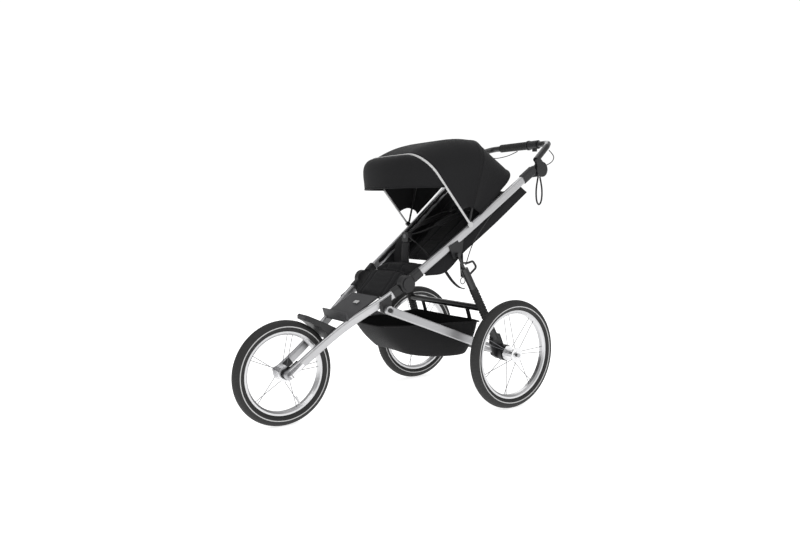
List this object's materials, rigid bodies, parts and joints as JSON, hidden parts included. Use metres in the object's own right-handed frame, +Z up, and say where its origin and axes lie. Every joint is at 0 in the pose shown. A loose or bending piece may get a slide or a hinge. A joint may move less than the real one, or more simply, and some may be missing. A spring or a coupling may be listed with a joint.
{
  "type": "baby stroller",
  "caption": "Jogging stroller with spoked wheels, folding tube frame, reclined padded seat with harness, hooded canopy, basket and hand brake.",
  "frame": {"origin": "on the floor under the middle of the stroller's overall box", "axes": "+X to the child's left, -Y forward toward the single front wheel, +Z up"},
  "size_m": [0.733, 1.4417, 1.127],
  "materials": {
    "silver_tube": "satin anodised",
    "polished_metal": "polished",
    "rim_metal": "satin anodised",
    "spoke_steel": "drawn",
    "axle_steel": "turned",
    "tyre_rubber": "matt with fine tread",
    "black_plastic": "fine grain",
    "grey_plastic": "moulded",
    "button_plastic": "smooth",
    "black_tube": "satin black",
    "silver_piping": "satin",
    "grip_foam": "soft matt",
    "cable_jacket": "smooth",
    "canopy_fabric": "plain weave",
    "seat_fabric": "padded weave",
    "harness_webbing": "webbing and padding",
    "basket_fabric": "coated weave"
  },
  "bodies": {
    "front_frame": {"front_tube_left": "silver_tube", "front_tube_right": "silver_tube", "dropouts": "black_plastic", "front_axle": "axle_steel", "fork_crown": "black_plastic", "footrest": "grey_plastic", "fold_hub_lower": "black_plastic", "arm_brackets": "black_plastic", "calf_pad": "seat_fabric", "seat_seam": "seat_fabric"},
    "front_wheel": {"front_wheel_tyre": "tyre_rubber", "front_wheel_rim": "rim_metal", "front_wheel_hub": "polished_metal", "front_wheel_spokes": "spoke_steel"},
    "release_lever": {"quick_release_lever": "polished_metal"},
    "upper_frame": {"upper_tube_left": "silver_tube", "upper_tube_right": "silver_tube", "fold_hub_upper": "black_plastic", "catch_plates": "black_plastic", "handle_sockets": "black_plastic", "seat_pan": "seat_fabric", "seat_sides": "seat_fabric", "lap_harness": "harness_webbing", "buckle": "black_plastic", "canopy_rear_panel": "canopy_fabric", "brake_cables": "cable_jacket", "wrist_strap": "harness_webbing", "seat_straps": "harness_webbing"},
    "seat_back": {"seat_back": "seat_fabric", "shoulder_harness": "harness_webbing"},
    "buckle_button": {"buckle_button": "button_plastic"},
    "canopy_front": {"canopy_front_hoop": "silver_piping", "visor": "canopy_fabric"},
    "canopy_mid": {"canopy_mid_hoop": "black_tube", "canopy_front_panel": "canopy_fabric"},
    "handlebar": {"handlebar": "black_tube", "grip": "grip_foam"},
    "twist_brake": {"twist_brake": "black_plastic"},
    "rear_frame": {"rear_arm_left": "silver_tube", "rear_arm_right": "silver_tube", "strut_left": "black_tube", "strut_right": "black_tube", "cross_tube": "black_tube", "axle_carriers": "black_plastic", "rear_axle": "black_tube", "transport_catch": "black_plastic", "basket": "basket_fabric", "basket_front": "basket_fabric"},
    "rear_wheel_left": {"rear_wheel_left_tyre": "tyre_rubber", "rear_wheel_left_rim": "rim_metal", "rear_wheel_left_hub": "polished_metal", "rear_wheel_left_spokes": "spoke_steel"},
    "rear_wheel_right": {"rear_wheel_right_tyre": "tyre_rubber", "rear_wheel_right_rim": "rim_metal", "rear_wheel_right_hub": "polished_metal", "rear_wheel_right_spokes": "spoke_steel"},
    "wheel_release_left": {"wheel_release_left": "axle_steel"},
    "wheel_release_right": {"wheel_release_right": "axle_steel"},
    "brake_pedal": {"brake_pedal": "black_plastic"}
  },
  "joints": [
    {"name": "frame_fold", "type": "hinge", "parent": "front_frame", "child": "upper_frame", "pos_m": [0, -0.0681, 0.52], "axis": [1, 0, 0], "range_deg": [0, 108], "deforming": ["seat_seam", "brake_cables", "seat_straps"]},
    {"name": "rear_fold", "type": "hinge", "parent": "front_frame", "child": "rear_frame", "pos_m": [0, -0.1551, 0.424], "axis": [1, 0, 0], "range_deg": [-64.1, 0], "deforming": ["basket_front"]},
    {"name": "canopy_carry", "type": "hinge", "parent": "upper_frame", "child": "canopy_mid", "pos_m": [0, 0.2099, 0.748], "axis": [1, 0, 0], "range_deg": [-32, 0], "deforming": ["canopy_rear_panel"]},
    {"name": "canopy", "type": "hinge", "parent": "canopy_mid", "child": "canopy_front", "pos_m": [0, 0.2099, 0.748], "axis": [1, 0, 0], "range_deg": [-50, 0], "deforming": ["canopy_front_panel"]},
    {"name": "seat_recline", "type": "hinge", "parent": "upper_frame", "child": "seat_back", "pos_m": [0, 0.1199, 0.585], "axis": [1, 0, 0], "range_deg": [0, 20], "deforming": ["shoulder_harness"]},
    {"name": "handlebar_tilt", "type": "hinge", "parent": "upper_frame", "child": "handlebar", "pos_m": [0, 0.5749, 0.981], "axis": [1, 0, 0], "range_deg": [-35, 10]},
    {"name": "twist_brake", "type": "hinge", "parent": "handlebar", "child": "twist_brake", "pos_m": [0, 0.6989, 1.105], "axis": [1, 0, 0], "range_deg": [0, 35], "stiffness_Nm_per_rad": 0.4},
    {"name": "front_wheel_spin", "type": "hinge", "parent": "front_frame", "child": "front_wheel", "pos_m": [0, -0.5215, 0.1994], "axis": [1, 0, 0], "continuous": true},
    {"name": "rear_wheel_left_spin", "type": "hinge", "parent": "rear_frame", "child": "rear_wheel_left", "pos_m": [0.329, 0.3419, 0.222], "axis": [1, 0, 0], "continuous": true},
    {"name": "rear_wheel_right_spin", "type": "hinge", "parent": "rear_frame", "child": "rear_wheel_right", "pos_m": [-0.329, 0.3419, 0.222], "axis": [1, 0, 0], "continuous": true},
    {"name": "quick_release", "type": "hinge", "parent": "front_frame", "child": "release_lever", "pos_m": [0.074, -0.5215, 0.1994], "axis": [0, 0.6428, -0.766], "range_deg": [0, 85]},
    {"name": "parking_brake", "type": "hinge", "parent": "rear_frame", "child": "brake_pedal", "pos_m": [0, 0.3419, 0.222], "axis": [1, 0, 0], "range_deg": [-15, 0]},
    {"name": "wheel_release_left_press", "type": "slide", "parent": "rear_frame", "child": "wheel_release_left", "axis": [-1, 0, 0], "range_m": [0, 0.0025], "stiffness_N_per_m": 400},
    {"name": "wheel_release_right_press", "type": "slide", "parent": "rear_frame", "child": "wheel_release_right", "axis": [1, 0, 0], "range_m": [0, 0.0025], "stiffness_N_per_m": 400},
    {"name": "buckle_press", "type": "slide", "parent": "upper_frame", "child": "buckle_button", "axis": [0, 1, 0], "range_m": [0, 0.0025], "stiffness_N_per_m": 300}
  ],
  "couplings": [
    {"joint": "rear_fold", "follows": "frame_fold", "ratio": -0.5932},
    {"joint": "canopy_carry", "follows": "frame_fold", "ratio": -0.2963}
  ]
}
